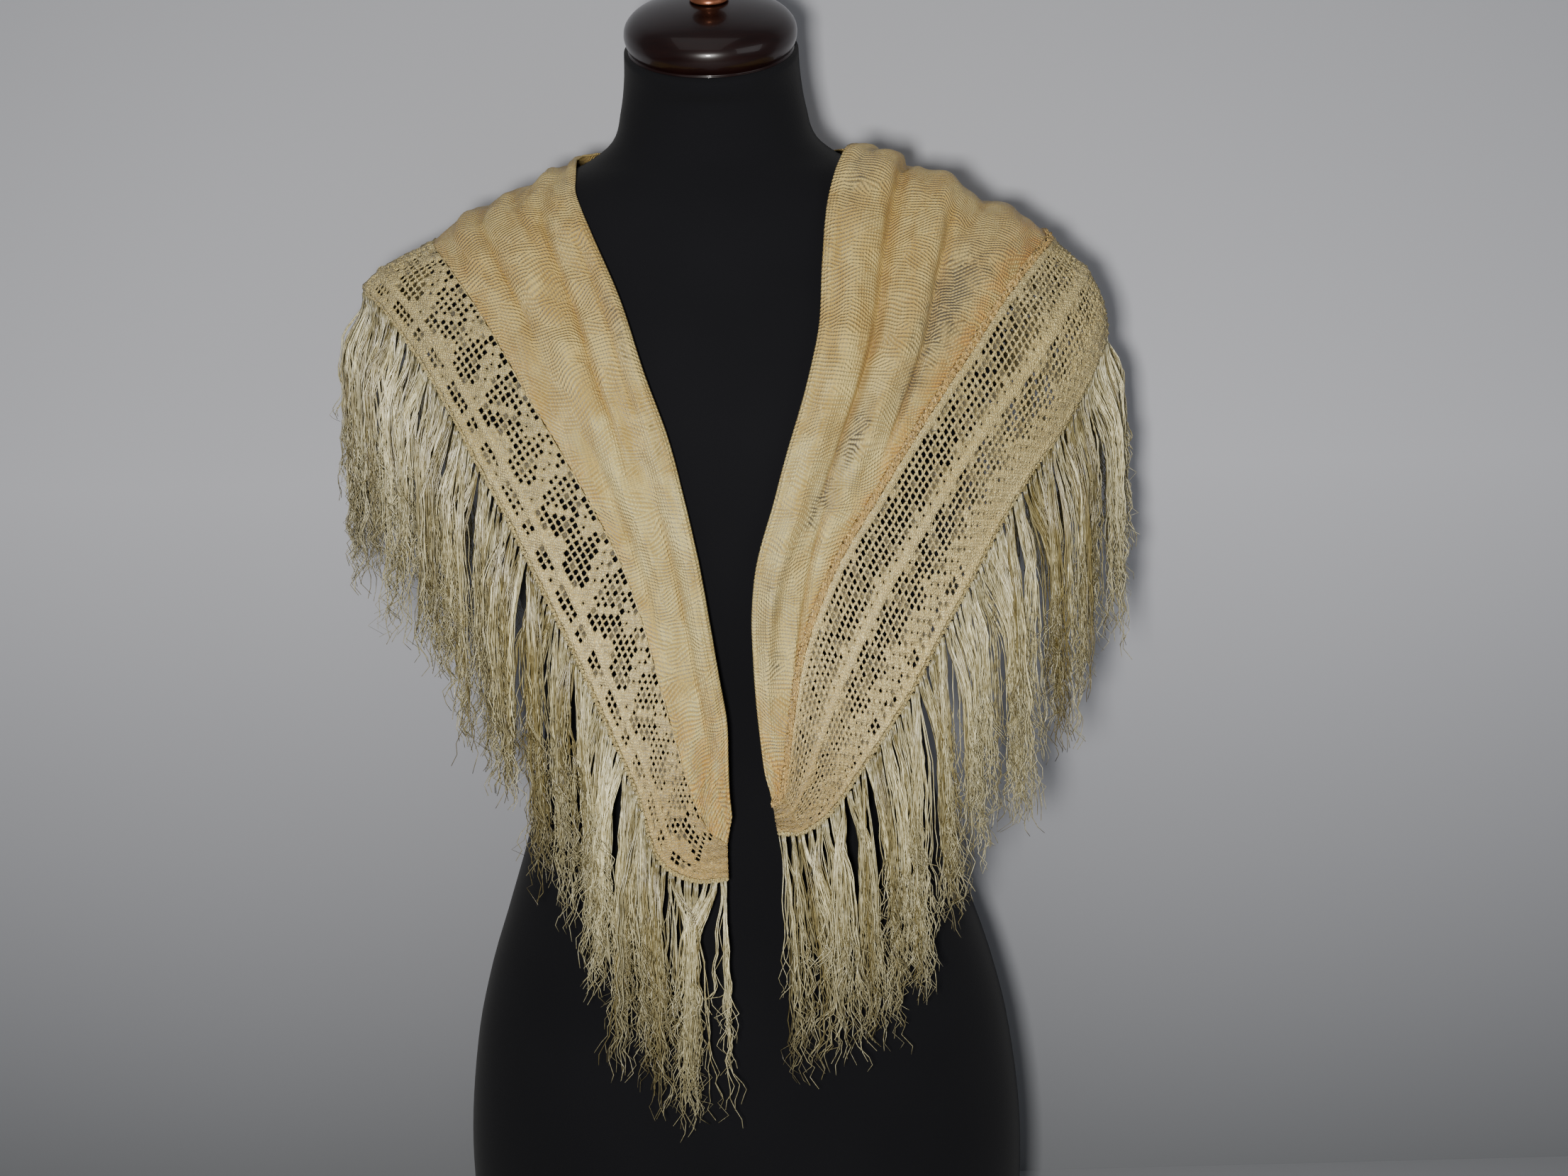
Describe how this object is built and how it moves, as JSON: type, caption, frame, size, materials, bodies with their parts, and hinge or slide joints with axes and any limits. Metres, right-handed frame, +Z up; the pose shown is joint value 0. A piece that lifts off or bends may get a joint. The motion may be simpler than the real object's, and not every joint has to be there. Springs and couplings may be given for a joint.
{
  "type": "lace shawl on a dress form",
  "caption": "Fringed knitted-lace shawl draped over the shoulders of a limbless dress form, its two pointed fronts hanging down the chest.",
  "frame": {"origin": "middle of the dress form's flat base", "axes": "+Z up the form, -Y out of the chest, +X to the right in the picture"},
  "size_m": [0.471, 0.2627, 0.8927],
  "materials": {
    "velvet": "matt black pile",
    "wood": "dark glossy lacquer",
    "copper": "dull copper",
    "silk": "soft sheen",
    "lace": "soft sheen",
    "fringe": "silky"
  },
  "bodies": {
    "root": {"dress_form": "velvet", "neck_cap": "wood", "cap_finial": "copper", "shawl_body": "silk", "lace_border_left": "lace", "lace_border_right": "lace", "fringe_left_front": "fringe", "fringe_left_back": "fringe", "fringe_right_front": "fringe", "fringe_right_back": "fringe"}
  },
  "joints": []
}
